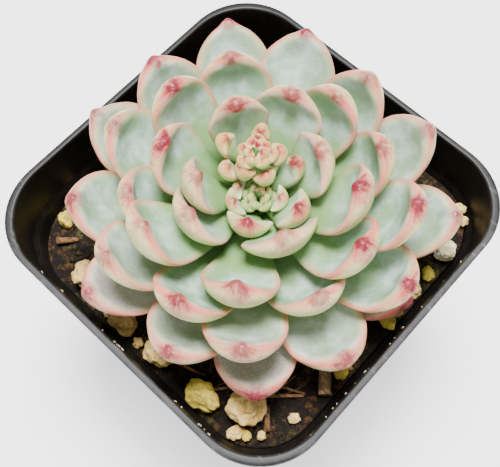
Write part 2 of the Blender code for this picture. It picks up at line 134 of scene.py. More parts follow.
def add_node(tree, kind, inputs, output=None, stops=(), **settings):
    """Adds a shader node and gives its output of this name, or its first one in use.

    inputs go by name, or in the order that the node shows them. A socket is linked and a value is set.
    stops are a ramp's (place, colour) pairs."""
    node = tree.nodes.new("ShaderNode" + kind)
    for name, value in {**USUAL.get(kind, {}), **settings}.items():
        setattr(node, name, value)
    shown = [socket for socket in node.inputs if socket.enabled]
    if isinstance(inputs, dict):
        fill(tree, node.inputs, inputs)
    else:
        fill(tree, shown, dict(enumerate(inputs)))
    for number, (place, colour) in enumerate(stops):
        elements = node.color_ramp.elements
        element = elements[number] if number < len(elements) else elements.new(place)
        element.position = place
        element.color = colour
    return node.outputs[output] if output else next(socket for socket in node.outputs if socket.enabled)


def new_material(name):
    """A material, its tree, its Principled shader and the place on the piece that its patterns read."""
    material = bpy.data.materials.new(name)
    material.use_nodes = True
    tree = material.node_tree
    return material, tree, tree.nodes["Principled BSDF"], add_node(tree, "TexCoord", (), "Object")


def noise_inputs(place, width, detail=2.0, roughness=0.5):
    """Inputs of a noise whose blotches are about this many millimetres wide."""
    return {"Vector": place, "Scale": 1 / (width * MM), "Detail": detail, "Roughness": roughness}


def finish_piece(name, bm, material, replaced=()):
    """Turns a bmesh into a piece of the object that rides on the part's one body."""
    mesh = bpy.data.meshes.new(name)
    bm.to_mesh(mesh)
    bm.free()
    mesh.shade_smooth()
    mesh.materials.append(material)
    piece = bpy.data.objects.new(name, mesh)
    bpy.context.scene.collection.objects.link(piece)
    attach(piece, BODY)
    if replaced:
        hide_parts(*replaced)
    return piece


def node_points(node):
    """A CAD node's separate corners, those where the most facets meet first."""
    places = {}
    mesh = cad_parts[node].data
    for polygon in mesh.polygons:
        for index in polygon.vertices:
            key = tuple(round(c / MM, 3) for c in mesh.vertices[index].co)
            places[key] = places.get(key, 0) + 1
    points = sorted(places, key=lambda key: (-places[key], key))
    return [Vector(point) * MM for point in points]


# --- Sizes and colours ---


class SucculentSizes(bpy.types.PropertyGroup):
    thick_old: FloatProperty(
        name="Oldest leaf", description="Thickness of the oldest leaf", default=4.1 * MM, unit="LENGTH"
    )
    thick_new: FloatProperty(
        name="Youngest leaf", description="Thickness of the youngest leaf", default=3.3 * MM, unit="LENGTH"
    )
    thick_small: FloatProperty(
        name="Heart leaf", description="Thickness at a growing point", default=2.4 * MM, unit="LENGTH"
    )
    cup: FloatProperty(
        name="Cup", description="How far the margins rise, in half breadths", default=0.34, min=0.0, max=1.0
    )
    spine: FloatProperty(
        name="Point", description="Length of the point on each leaf", default=1.0 * MM, unit="LENGTH"
    )
    waver: FloatProperty(
        name="Waver", description="How uneven a leaf's skin is", default=0.22 * MM, unit="LENGTH"
    )
    pot_wall: FloatProperty(
        name="Pot wall", description="Thickness of the pot's wall", default=1.1 * MM, unit="LENGTH"
    )
    pot_corner: FloatProperty(
        name="Pot corner", description="Corner radius at the rim", default=15.5 * MM, unit="LENGTH"
    )
    soil_lumps: FloatProperty(
        name="Soil lumps", description="Height of the lumps in the soil", default=1.6 * MM, unit="LENGTH"
    )


COLOUR = {"size": 4, "subtype": "COLOR"}


class SucculentColours(bpy.types.PropertyGroup):
    leaf_face: FloatVectorProperty(name="Leaf face", description="Upper face", default=srgb("84A283"), **COLOUR)
    leaf_base: FloatVectorProperty(name="Leaf base", description="Near the stem", default=srgb("5C8440"), **COLOUR)
    bloom: FloatVectorProperty(name="Wax bloom", description="Pale wax", default=srgb("C6D6D8"), **COLOUR)
    back: FloatVectorProperty(name="Leaf back", description="Under face", default=srgb("D5DCA4"), **COLOUR)
    margin: FloatVectorProperty(name="Margin", description="Its pink flush", default=srgb("D9483F"), **COLOUR)
    point: FloatVectorProperty(name="Point", description="The dark point", default=srgb("7A1A2C"), **COLOUR)
    # Dust and painted shade: this grey dulls the lowest leaves, both for their dust and for the shade they lie in.
    dust: FloatVectorProperty(name="Dust", description="On the lowest leaves", default=srgb("A39490"), **COLOUR)
    pot: FloatVectorProperty(name="Pot", description="The pot's plastic", default=srgb("100F0E"), **COLOUR)
    # The rim's grey: wear, and a painted highlight on the side toward the camera.
    rim_wear_and_highlight: FloatVectorProperty(name="Worn rim", description="Handled plastic", default=srgb("454446"), **COLOUR)
    peat: FloatVectorProperty(name="Peat", description="Its paler parts", default=srgb("2A1B0E"), **COLOUR)


# --- Materials ---





def leaf_material(name, colours, face, base, back, blush):
    """Living succulent leaf, smooth skin under a waxy bloom: matte and pale, its flesh letting light through.

    The bloom lies in soft blotches about 6 mm wide, the margin is flushed pink for 1 to 2 mm, and the
    point is dark red in a paler smudge that runs down the leaf's back in streaks."""
    material, tree, shader, place = new_material(name)
    read = {key: add_node(tree, "Attribute", (), "Fac", attribute_name=key) for key in LEAF_LAYERS}
    blotch = add_node(tree, "TexNoise", noise_inputs(place, 6.0, 3.0, 0.55))
    patch = add_node(tree, "TexNoise", noise_inputs(place, 2.2, 4.0, 0.65))
    grain = add_node(tree, "TexNoise", noise_inputs(place, 0.5, 3.0, 0.7))
    lengthways = add_node(tree, "CombineXYZ", (read["across"], read["along"], read["tone"]))
    lengthways = add_node(tree, "Mapping", {"Vector": lengthways, "Scale": (8.0, 2.5, 30.0)})
    streak = add_node(
        tree, "TexNoise", {"Vector": lengthways, "Scale": 1.0, "Detail": 3.0, "Roughness": 0.6}
    )

    # Green under wax above, and paler below.
    upper = add_node(tree, "MapRange", (read["face"], -0.3, 0.12))
    stops = ((0.1, base), (0.5, srgb("7A9A62")), (0.78, face), (1.0, face))
    face_colour = add_node(tree, "ValToRGB", (read["along"],), stops=stops)
    bloom = add_node(tree, "MapRange", (patch, 0.25, 0.7, 0.35, 1.0))
    bloom = add_node(tree, "Math", (add_node(tree, "MapRange", (blotch, 0.38, 0.66)), bloom))
    waxed = add_node(tree, "MapRange", (read["along"], 0.35, 0.8, 0.1, 0.8))
    bloom = add_node(tree, "Math", (bloom, waxed))
    face_colour = add_node(tree, "Mix", (bloom, face_colour, colours.bloom))
    stops = ((0.1, base), (0.55, srgb("94B562")), (0.8, srgb("BACB80")), (0.97, back))
    back_colour = add_node(tree, "ValToRGB", (read["along"],), stops=stops)
    colour = add_node(tree, "Mix", (upper, back_colour, face_colour))

    # Dust on the lowest leaves, and painted shade: the same grey-lilac dulls and darkens the leaves that lie in
    # shade.
    dust_and_shade_tint = add_node(tree, "ValToRGB", (grain,), stops=((0.3, colours.dust), (0.7, srgb("DCCCC8"))))
    dust = add_node(tree, "Math", (read["dust"], add_node(tree, "MapRange", (patch, 0.25, 0.7, 0.4, 0.9))))
    colour = add_node(tree, "Mix", (dust, colour, dust_and_shade_tint))

    # The flushed margin, in a wider and paler glow, both ragged.
    ragged = add_node(tree, "MapRange", (patch, 0.3, 0.7, 0.7, 1.0))
    ragged = add_node(tree, "Math", (add_node(tree, "MapRange", (blotch, 0.3, 0.7, 0.45, 1.0)), ragged))
    ragged = add_node(tree, "Math", (ragged, add_node(tree, "MapRange", (read["along"], 0.35, 0.72))))
    ragged = add_node(tree, "Math", (add_node(tree, "Math", (ragged, read["blush"])), blush))
    width = add_node(tree, "MapRange", (upper, 0.0, 1.0, 2.5, 2.2), interpolation_type="LINEAR")
    reach = add_node(tree, "Math", (read["edge_mm"], width), operation="DIVIDE", use_clamp=False)
    glow = add_node(tree, "Math", (add_node(tree, "MapRange", (reach, 1.0, 0.5)), ragged))
    glow = add_node(tree, "Math", (glow, 0.45))
    colour = add_node(tree, "Mix", (glow, colour, srgb("F0CE8E")))
    flush = add_node(tree, "Math", (add_node(tree, "MapRange", (reach, 0.62, 0.1)), ragged))
    colour = add_node(tree, "Mix", (flush, colour, colours.margin))

    # The dark point in its smudge, which reaches twice as far down the back as over the face.
    away = add_node(tree, "Math", (streak, 2.2), use_clamp=False)
    away = add_node(tree, "Math", (patch, 4.2, away), operation="MULTIPLY_ADD", use_clamp=False)
    spread = add_node(tree, "MapRange", (upper, 0.0, 1.0, 0.62, 1.25), interpolation_type="LINEAR")
    ragged_tip = add_node(
        tree, "Math", (read["tip_mm"], spread, away), operation="MULTIPLY_ADD", use_clamp=False
    )
    red = add_node(tree, "MapRange", (read["tone"], 0.0, 1.0, 0.55, 1.0))
    smudge = add_node(tree, "Math", (add_node(tree, "MapRange", (ragged_tip, 7.4, 4.6)), red))
    smudge = add_node(tree, "Math", (smudge, 0.8))
    colour = add_node(tree, "Mix", (smudge, colour, srgb("B83246")))
    point = add_node(tree, "Math", (add_node(tree, "MapRange", (ragged_tip, 5.2, 4.0)), red))
    spine = add_node(tree, "MapRange", (read["tip_mm"], 1.1, 0.4, 0.0, 0.85))
    point = add_node(tree, "Math", (point, spine), operation="MAXIMUM")
    colour = add_node(tree, "Mix", (point, colour, colours.point))
    scab = add_node(tree, "MapRange", (ragged_tip, 5.4, 4.2))
    scab = add_node(tree, "Math", (add_node(tree, "MapRange", (grain, 0.6, 0.64)), scab))
    scab = add_node(tree, "Math", (scab, 0.25))
    colour = add_node(tree, "Mix", (scab, colour, srgb("D9B79A")))

    # A few brown specks, under half a millimetre wide.
    cells = {"Vector": place, "Scale": 1 / (2.6 * MM), "Randomness": 1.0}
    middle = add_node(tree, "MapRange", (add_node(tree, "TexVoronoi", cells, "Distance"), 0.10, 0.04))
    chosen = add_node(tree, "TexVoronoi", cells, "Color")
    speck = add_node(tree, "Math", (middle, add_node(tree, "MapRange", (chosen, 0.72, 0.76, 0.0, 0.55))))
    colour = add_node(tree, "Mix", (speck, colour, srgb("5E4A42")))
    bump = add_node(tree, "Bump", {"Height": grain, "Strength": 0.25, "Distance": 0.05 * MM})
    fill(
        tree,
        shader.inputs,
        {
            "Base Color": colour,
            "Roughness": add_node(tree, "MapRange", (bloom, 0.0, 0.7, 0.38, 0.58)),
            "IOR": 1.42,
            "Subsurface Weight": 0.1,
            "Subsurface Radius": (1.0, 0.75, 0.4),
            "Subsurface Scale": 1.2 * MM,
            "Normal": bump,
        },
    )
    return material


def polypropylene(colours):
    """Black polypropylene, injection moulded: satin, scuffed grey and dusty along the rim, whose grey is partly a
    painted highlight, brightest on the side toward the camera, with a film of dried soil on the walls inside."""
    material, tree, shader, place = new_material("moulded_black_polypropylene")
    x = add_node(tree, "SeparateXYZ", (place,), "X")
    y = add_node(tree, "SeparateXYZ", (place,), "Y")
    height = add_node(tree, "SeparateXYZ", (place,), "Z")
    dust = add_node(tree, "TexNoise", noise_inputs(place, 5.0, 6.0, 0.7))
    grit = add_node(tree, "TexNoise", noise_inputs(place, 0.6, 3.0, 0.6))
    drawn = add_node(
        tree, "Mapping", {"Vector": place, "Rotation": (0.0, 0.0, 0.6), "Scale": (0.12, 1.0, 1.0)}
    )
    scratch = add_node(tree, "TexNoise", noise_inputs(drawn, 0.8))

    # Wear and painted highlight: the top millimetre of the rim turns grey, its outer edge most, and more on the
    # side toward the camera, where the grey is a painted highlight.
    rim, side = POT_HIGH.z, POT_HIGH.x
    wear_and_highlight = add_node(tree, "MapRange", (height, rim - 1.1 * MM, rim - 0.15 * MM))
    wear_and_highlight = add_node(tree, "Math", (wear_and_highlight, add_node(tree, "MapRange", (dust, 0.3, 0.62, 0.45, 1.0))))
    # Painted highlight: the rim is greyer toward the camera's side and darkest at the back.
    front_highlight = add_node(tree, "Math", (x, y), operation="SUBTRACT", use_clamp=False)
    front_highlight = add_node(tree, "MapRange", (front_highlight, -25 * MM, 10 * MM, 0.12, 1.0))
    wear_and_highlight = add_node(tree, "Math", (wear_and_highlight, front_highlight))
    from_middle = [add_node(tree, "Math", (along,), operation="ABSOLUTE") for along in (x, y)]
    outermost = add_node(tree, "Math", from_middle, operation="MAXIMUM")
    outermost = add_node(tree, "MapRange", (outermost, side - 1.5 * MM, side - 0.8 * MM, 0.3, 1.0))
    wear_and_highlight = add_node(tree, "Math", (wear_and_highlight, outermost))

    # The film of soil, only on faces that look inwards, and thicker lower down.
    facing = (add_node(tree, "TexCoord", (), "Normal"), place)
    facing = add_node(tree, "VectorMath", facing, operation="DOT_PRODUCT")
    film = add_node(tree, "MapRange", (height, rim - 22 * MM, rim - 10 * MM, 1.0, 0.25))
    film = add_node(tree, "Math", (film, add_node(tree, "MapRange", (dust, 0.45, 0.7, 0.0, 0.55))))
    film = add_node(tree, "Math", (film, add_node(tree, "MapRange", (facing, 0.0, -8 * MM))))
    colour = add_node(tree, "Mix", (film, colours.pot, srgb("3B2D22")))
    # The grey of wear and painted highlight on the rim.
    colour = add_node(tree, "Mix", (wear_and_highlight, colour, colours.rim_wear_and_highlight))
    marks = add_node(tree, "Math", (add_node(tree, "MapRange", (scratch, 0.62, 0.7)), wear_and_highlight))
    marks = add_node(tree, "Math", (marks, 0.2))
    colour = add_node(tree, "Mix", (marks, colour, srgb("D2D0CE")))
    specks = add_node(tree, "Math", (add_node(tree, "MapRange", (grit, 0.66, 0.72)), 0.25))
    colour = add_node(tree, "Mix", (specks, colour, srgb("6B5B4A")))
    bump = add_node(tree, "Bump", {"Height": grit, "Strength": 0.3, "Distance": 0.06 * MM})
    fill(
        tree,
        shader.inputs,
        {
            "Base Color": colour,
            "Roughness": add_node(tree, "MapRange", (wear_and_highlight, 0.0, 1.0, 0.42, 0.62)),
            "IOR": 1.49,
            "Specular IOR Level": 0.22,
            "Normal": bump,
        },
    )
    return material


def peat(colours):
    """Damp peat, milled and sieved: nearly black and without shine, with browner crumbs 1.5 mm wide
    and a greenish cast of moss in patches."""
    material, tree, shader, place = new_material("milled_peat")
    cells = {"Vector": place, "Scale": 1 / (1.5 * MM), "Randomness": 1.0}
    crumbs = add_node(tree, "TexVoronoi", cells, "Color")
    fine = add_node(tree, "TexNoise", noise_inputs(place, 1.1, 6.0, 0.75))
    patches = add_node(tree, "TexNoise", noise_inputs(place, 8.0))
    paler = add_node(tree, "MapRange", (fine, 0.4, 0.75))
    colour = add_node(tree, "Mix", (paler, srgb("0B0704"), colours.peat))
    brown = add_node(tree, "MapRange", (fine, 0.42, 0.6))
    brown = add_node(tree, "Math", (add_node(tree, "MapRange", (crumbs, 0.5, 0.8)), brown))
    colour = add_node(tree, "Mix", (brown, colour, srgb("4E3419")))
    moss = add_node(tree, "MapRange", (fine, 0.45, 0.62, 0.0, 0.8))
    moss = add_node(tree, "Math", (add_node(tree, "MapRange", (patches, 0.5, 0.62)), moss))
    colour = add_node(tree, "Mix", (moss, colour, srgb("4A461E")))
    bump = add_node(tree, "Bump", {"Height": fine, "Strength": 0.9, "Distance": 0.7 * MM})
    fill(
        tree,
        shader.inputs,
        {
            "Base Color": colour,
            "Roughness": 0.92,
            "Specular IOR Level": 0.3,
            "Normal": bump,
        },
    )
    return material


def pumice(name, light, dark):
    """Pumice gravel, crushed and tumbled: chalky, with pores 0.3 to 0.8 mm wide, darker brown in their hollows."""
    material, tree, shader, place = new_material(name)
    cells = {"Vector": place, "Scale": 1 / (0.9 * MM), "Randomness": 1.0}
    pores = add_node(tree, "TexVoronoi", cells, "Distance")
    stain = add_node(tree, "TexNoise", noise_inputs(place, 2.4, 5.0, 0.65))
    stain = add_node(tree, "MapRange", (stain, 0.42, 0.68))
    colour = add_node(tree, "Mix", (stain, srgb(light), srgb(dark)))
    hollow = add_node(tree, "Math", (add_node(tree, "MapRange", (pores, 0.28, 0.08)), 0.75))
    colour = add_node(tree, "Mix", (hollow, colour, srgb("6A5230")))
    bump = add_node(tree, "Bump", {"Height": pores, "Strength": 0.35, "Distance": 0.25 * MM})
    fill(tree, shader.inputs, {"Base Color": colour, "Roughness": 0.9, "Normal": bump})
    return material


def pine_bark(name, light, dark):
    """Pine bark and root fibre, chipped: dull and streaked along its length, paler where it broke."""
    material, tree, shader, place = new_material(name)
    grained = {"Vector": place, "Rotation": (0.0, 0.0, 0.95), "Scale": (0.25, 1.6, 1.0)}
    streaks = add_node(tree, "TexNoise", noise_inputs(add_node(tree, "Mapping", grained), 0.9, 5.0, 0.7))
    pale = add_node(tree, "MapRange", (streaks, 0.35, 0.65))
    bump = add_node(tree, "Bump", {"Height": streaks, "Strength": 0.8, "Distance": 0.3 * MM})
    fill(
        tree,
        shader.inputs,
        {
            "Base Color": add_node(tree, "Mix", (pale, srgb(dark), srgb(light))),
            "Roughness": 0.85,
            "Normal": bump,
        },
    )
    return material


# --- Leaves ---


def centre_line(curl, hook):
    """Unit-length curve in a leaf's own plane, x out and z up, and its slope, starting level."""
    s = np.linspace(0, 1, 241)
    end = np.clip((s - HOOK_FROM) / (1 - HOOK_FROM), 0, 1)
    slope = np.radians(curl * s**CURL_POWER + hook * end**HOOK_POWER)
    step = 1 / (len(s) - 1)
    x = np.concatenate([[0], np.cumsum((np.cos(slope[1:]) + np.cos(slope[:-1])) / 2) * step])
    z = np.concatenate([[0], np.cumsum((np.sin(slope[1:]) + np.sin(slope[:-1])) / 2) * step])
    return s, x, z, slope


def smooth_rise(low, high, value):
    t = np.clip((value - low) / (high - low), 0, 1)
    return t * t * (3 - 2 * t)


def half_breadth(s, blunt):
    """A spoon's outline: a narrow base, widest near the tip, and a blunt end."""
    swell = np.sin(math.pi / 2 * np.clip(s / WIDEST_AT, 0, 1)) ** SWELL
    t = np.clip((s - WIDEST_AT) / (1 - WIDEST_AT), 0, 1)
    end = np.clip(1 - t**blunt, 0, 1) ** (1 / blunt)
    return np.where(s < WIDEST_AT, BASE_BREADTH + (1 - BASE_BREADTH) * swell, end)


def leaf_places(leaf, along, turn, pole):
    """Where the leaf's skin is at these shares of its length and turns round it.

    pole is -1 at its base, 1 at its tip and 0 between. Gives the places, and how far each is across
    the leaf and through it, both from -1 to 1."""
    s, x, z, slope = centre_line(leaf["curl"], leaf["hook"])
    out = np.array([*leaf["out"], 0.0])
    side = np.array([-out[1], out[0], 0.0])
    up = np.array([0.0, 0.0, 1.0])
    base = np.array(leaf["base"])
    reached = np.array(leaf["tip"])
    for _ in range(4):
        chord = reached - base
        run, rise = chord @ out, chord[2]
        length = math.hypot(run, rise) / math.hypot(x[-1], z[-1])
        start = math.atan2(rise, run) - math.atan2(z[-1], x[-1])
        end = start + slope[-1]
        reached = np.array(leaf["tip"]) - (out * math.cos(end) + up * math.sin(end)) * leaf["spine"]
    bend = start + np.interp(along, s, slope)
    centre_x = np.interp(along, s, x) * length
    centre_z = np.interp(along, s, z) * length
    centre = (
        base
        + np.outer(centre_x * math.cos(start) - centre_z * math.sin(start), out)
        + np.outer(centre_x * math.sin(start) + centre_z * math.cos(start), up)
    )
    normal = -np.outer(np.sin(bend), out) + np.outer(np.cos(bend), up)
    forward = np.outer(np.cos(bend), out) + np.outer(np.sin(bend), up)
    thick = leaf["thick"]
    round_from = 1 - TIP_ROUNDING * thick / length
    breadth = leaf["half"] * half_breadth(along, leaf["blunt"])
    depth = thick * (BASE_THICKNESS + (1 - BASE_THICKNESS) * smooth_rise(0, THICKEST_FROM, along))
    rounding = np.clip((along - round_from) / (1 - round_from), 0, 1)
    depth = depth * np.sqrt(1 - rounding**2)
    across = np.sign(np.cos(turn)) * np.abs(np.cos(turn)) ** MARGIN_POWER
    through = np.sign(np.sin(turn)) * np.abs(np.sin(turn)) ** FACE_POWER
    across = np.where(np.abs(pole) > 0, 0.0, across)
    through = np.where(np.abs(pole) > 0, 0.0, through)
    cup = leaf["cup"] * smooth_rise(CUP_FROM, CUP_FULL, along) * breadth**2 / leaf["half"] * across**2
    rise_of_face = cup + depth * through * np.where(through > 0, UPPER_SHARE, LOWER_SHARE)
    places = centre + np.outer(breadth * across, side) + normal * rise_of_face[:, None]
    gap = (1 - along) * length
    flat = np.abs(across) * breadth
    drawn_out = leaf["spine"] + 0.2 * MM
    pull = np.exp(-((gap / drawn_out) ** 2) - (flat / drawn_out) ** 2) * leaf["spine"]
    pull = np.where(pole > 0, leaf["spine"], pull * (pole == 0))
    return places + forward * pull[:, None], across, through


def new_leaf_bmesh():
    bm = bmesh.new()
    for name in LEAF_LAYERS:
        bm.verts.layers.float.new(name)
    return bm


def grow_leaf(bm, leaf, around=48, rings=44):
    """Adds one leaf to the mesh, shaped from a ball whose poles are the leaf's base and point."""
    layers = [bm.verts.layers.float[name] for name in LEAF_LAYERS]
    made = bmesh.ops.create_uvsphere(bm, u_segments=around, v_segments=rings, radius=1.0)["verts"]
    ball = np.array([vert.co for vert in made])
    ring = np.arccos(np.clip(-ball[:, 2], -1, 1)) / math.pi
    along = 0.35 * (1 - np.cos(math.pi * ring)) / 2 + 0.65 * (1 - (1 - ring) ** 1.7)
    turn = np.arctan2(ball[:, 1], ball[:, 0])
    pole = np.where(ring < 1e-4, -1, np.where(ring > 1 - 1e-4, 1, 0))
    places, across, through = leaf_places(leaf, along, turn, pole)
    steps = np.linspace(0.02, 0.995, 160)
    between = np.zeros(len(steps))
    sides = (between, between + math.pi)
    edge = np.concatenate([leaf_places(leaf, steps, side, between)[0] for side in sides])
    gaps = np.min(np.linalg.norm(places[:, None, :] - edge[None], axis=2), axis=1) / MM
    tips = np.linalg.norm(places - places[np.argmax(ring)], axis=1) / MM
    seed = Vector((leaf["tone"] * 91.7, leaf["tone"] * 37.3, leaf["half"] / MM))
    marks = leaf["marks"]
    same = np.ones(len(made))
    dust, tone = same * leaf["dust"], same * leaf["tone"]
    columns = (along, across, through, tips / marks, gaps / marks, dust, tone)
    for vert, place, values in zip(made, places, zip(*columns, same * leaf["blush"])):
        spot = Vector(place)
        slow = noise.noise_vector(spot / (9 * MM) + seed)
        quick = noise.noise_vector(spot / (3.2 * MM) + seed)
        vert.co = spot + (slow + 0.35 * quick) * leaf["waver"]
        for layer, value in zip(layers, values):
            vert[layer] = value


def leaf_from_node(node, tone, **form):
    """A leaf's base, point, direction and breadth, read from its CAD solid."""
    points = node_points(node)
    poles = sorted(points[:2], key=lambda point: point.z)
    far = (poles[1] - poles[0]).normalized()
    out = Vector((far.x, far.y)).normalized()
    side = Vector((-out.y, out.x))
    half = max(abs((point.xy - poles[0].xy).dot(side)) for point in points)
    return {"base": poles[0], "tip": poles[1], "out": out, "half": half, "tone": tone, **form}


def numbered(prefix):
    names = [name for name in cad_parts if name.startswith(prefix)]
    return sorted(name for name in names if name.removeprefix(prefix).isdigit())


# --- Pot and soil ---


def rounded_square(bm, half, corner, height, segments):
    """A flat face with rounded corners; corner is a share of half."""
    bmesh.ops.create_grid(bm, x_segments=1, y_segments=1, size=1.0)
    bmesh.ops.bevel(
        bm,
        geom=bm.verts[:],
        offset=corner,
        offset_type="OFFSET",
        segments=segments,
        profile=0.5,
        affect="VERTICES",
        material=-1,
    )
    bmesh.ops.scale(bm, vec=(half, half, 1), verts=bm.verts[:])
    bmesh.ops.translate(bm, vec=(0, 0, height), verts=bm.verts[:])


def loft(bm, edges, levels):
    """Pulls a ring of edges through (height, half side) levels from the first, and returns the last ring."""
    height, half = levels[0]
    for next_height, next_half in levels[1:]:
        made = bmesh.ops.extrude_edge_only(bm, edges=edges)["geom"]
        verts = [item for item in made if isinstance(item, bmesh.types.BMVert)]
        edges = [item for item in made if isinstance(item, bmesh.types.BMEdge) and item.is_boundary]
        bmesh.ops.scale(bm, vec=(next_half / half, next_half / half, 1), verts=verts)
        bmesh.ops.translate(bm, vec=(0, 0, next_height - height), verts=verts)
        height, half = next_height, next_half
    return edges


def arc(centre, radius, first, last, steps):
    """(height, half side) pairs round a bead; angles are from straight out."""
    turns = [math.radians(first + (last - first) * i / steps) for i in range(steps + 1)]
    return [(centre[0] + radius * math.sin(turn), centre[1] + radius * math.cos(turn)) for turn in turns]


def wall_at_step():
    """Half sides of the pot's outside, just over and just under its stacking step."""
    over = POT_HIGH.x - RIM_OVERHANG - STEP_DEPTH * BAND_TAPER
    return over, over - STEP_WIDTH


def pot_levels(wall):
    """The pot's outside from its foot up, over its rim, and its inside down to the floor."""
    side, top = POT_HIGH.x, POT_HIGH.z
    rim = side - RIM_OVERHANG
    over, under = wall_at_step()
    step = top - STEP_DEPTH
    inner_step = step + wall / 2
    under_bead = top - RIM_DEPTH
    foot_round, bead, soft = 1.2 * MM, 0.5 * MM, 0.06 * MM
    outer = [
        *arc((foot_round, POT_FOOT - foot_round), foot_round, -90, 0, 5),
        (step - STEP_WIDTH - SMALL_ROUND, under - 0.04 * MM),
        (step - STEP_WIDTH, under + soft),
        (step, over - soft),
        (step + SMALL_ROUND, over),
        (under_bead - 0.25 * MM, rim - 0.02 * MM),
        (under_bead, rim + 0.12 * MM),
        *arc((under_bead + SMALL_ROUND, side - SMALL_ROUND), SMALL_ROUND, -90, 0, 3),
        *arc((top - bead, side - bead), bead, 0, 90, 5),
    ]
    inner = [
        *arc((top - bead, rim - wall + bead), bead, 90, 180, 5),
        (inner_step + SMALL_ROUND, over - wall),
        (inner_step, over - wall - soft),
        (inner_step - STEP_WIDTH, under - wall + soft),
        (inner_step - STEP_WIDTH - SMALL_ROUND, under - wall),
        (POT_FLOOR + 0.5 * MM, POT_FOOT - wall),
        (POT_FLOOR, POT_FOOT - wall - 0.6 * MM),
    ]
    return outer + inner


def inside_half(height, wall):
    """Half the distance between the walls' inner faces, under the step."""
    step = POT_HIGH.z - STEP_DEPTH - STEP_WIDTH + wall / 2
    _, under = wall_at_step()
    return POT_FOOT + (under - POT_FOOT) * (height - POT_FLOOR) / (step - POT_FLOOR) - wall


def soil_plane():
    """The plane of the soil solid's top: its height at the pot's centre, and its slopes along X and Y."""
    middle = (SOIL_LOW.z + SOIL_HIGH.z) / 2
    top = np.array([point for point in node_points("soil") if point.z > middle])
    return np.linalg.lstsq(np.c_[np.ones(len(top)), top[:, :2]], top[:, 2], rcond=None)[0]


SOIL_HEIGHT, SOIL_SLOPE_X, SOIL_SLOPE_Y = soil_plane()


def soil_top(x, y):
    """Height of the soil's even surface."""
    return SOIL_HEIGHT + SOIL_SLOPE_X * x + SOIL_SLOPE_Y * y


def soil_relief(x, y, lumps):
    """Height of the crumbly surface over the even one."""
    spot = Vector((x, y, 0.0))
    broad = noise.noise(spot / (11 * MM))
    middle = noise.noise(spot / (4 * MM) + Vector((7, 3, 0)))
    fine = noise.noise(spot / (1.6 * MM) + Vector((1, 9, 4)))
    return lumps * (0.5 * broad + 0.35 * middle + 0.22 * fine)


def boundary_scale(turn, corner):
    """Distance from the middle to the edge of a rounded square of half side 1, at this turn."""
    c, s = abs(math.cos(turn)), abs(math.sin(turn))
    flat = 1 / max(c, s)
    if min(c, s) * flat <= 1 - corner:
        return flat
    middle = 1 - corner
    along = middle * (c + s)
    return along + math.sqrt(max(0.0, along * along - 2 * middle * middle + corner * corner))


# --- Operators ---


class SUCCULENT_OT_pot(bpy.types.Operator):
    """Moulds the pot: walls, stacking step, rim bead and drain holes"""

    bl_idname = "succulent.pot"
    bl_label = "Pot"

    def execute(self, context):
        sizes = context.scene.succulent_sizes
        levels = pot_levels(sizes.pot_wall)
        bm = bmesh.new()
        corner = sizes.pot_corner / POT_HIGH.x
        rounded_square(bm, levels[0][1], corner, levels[0][0], 18)
        edges = loft(bm, [edge for edge in bm.edges if edge.is_boundary], levels)
        bmesh.ops.edgeloop_fill(bm, edges=edges)
        bmesh.ops.recalc_face_normals(bm, faces=bm.faces[:])
        plastic = polypropylene(context.scene.succulent_colours)
        pot = finish_piece("moulded_pot", bm, plastic, ["pot"])
        ends = (-DRAIN_PLACE, DRAIN_PLACE)
        spots = [(0, 0)] + [(x, y) for x in ends for y in ends]
        bm = bmesh.new()
        for x, y in spots:
            bmesh.ops.create_cone(
                bm,
                cap_ends=True,
                segments=40,
                radius1=DRAIN_RADIUS,
                radius2=DRAIN_RADIUS,
                depth=4 * POT_FLOOR,
                matrix=Matrix.Translation((x, y, 0)),
            )
        mesh = bpy.data.meshes.new("drain_holes")
        bm.to_mesh(mesh)
        bm.free()
        holes = bpy.data.objects.new("drain_holes", mesh)
        context.scene.collection.objects.link(holes)
        cut = pot.modifiers.new("drain holes", "BOOLEAN")
        cut.operation = "DIFFERENCE"
        cut.solver = "EXACT"
        cut.object = holes
        graph = context.evaluated_depsgraph_get()
        drilled = bpy.data.meshes.new_from_object(pot.evaluated_get(graph))
        pot.modifiers.clear()
        pot.data = drilled
        bpy.data.objects.remove(holes)
        drilled.set_sharp_from_angle(angle=math.radians(50))
        return {"FINISHED"}


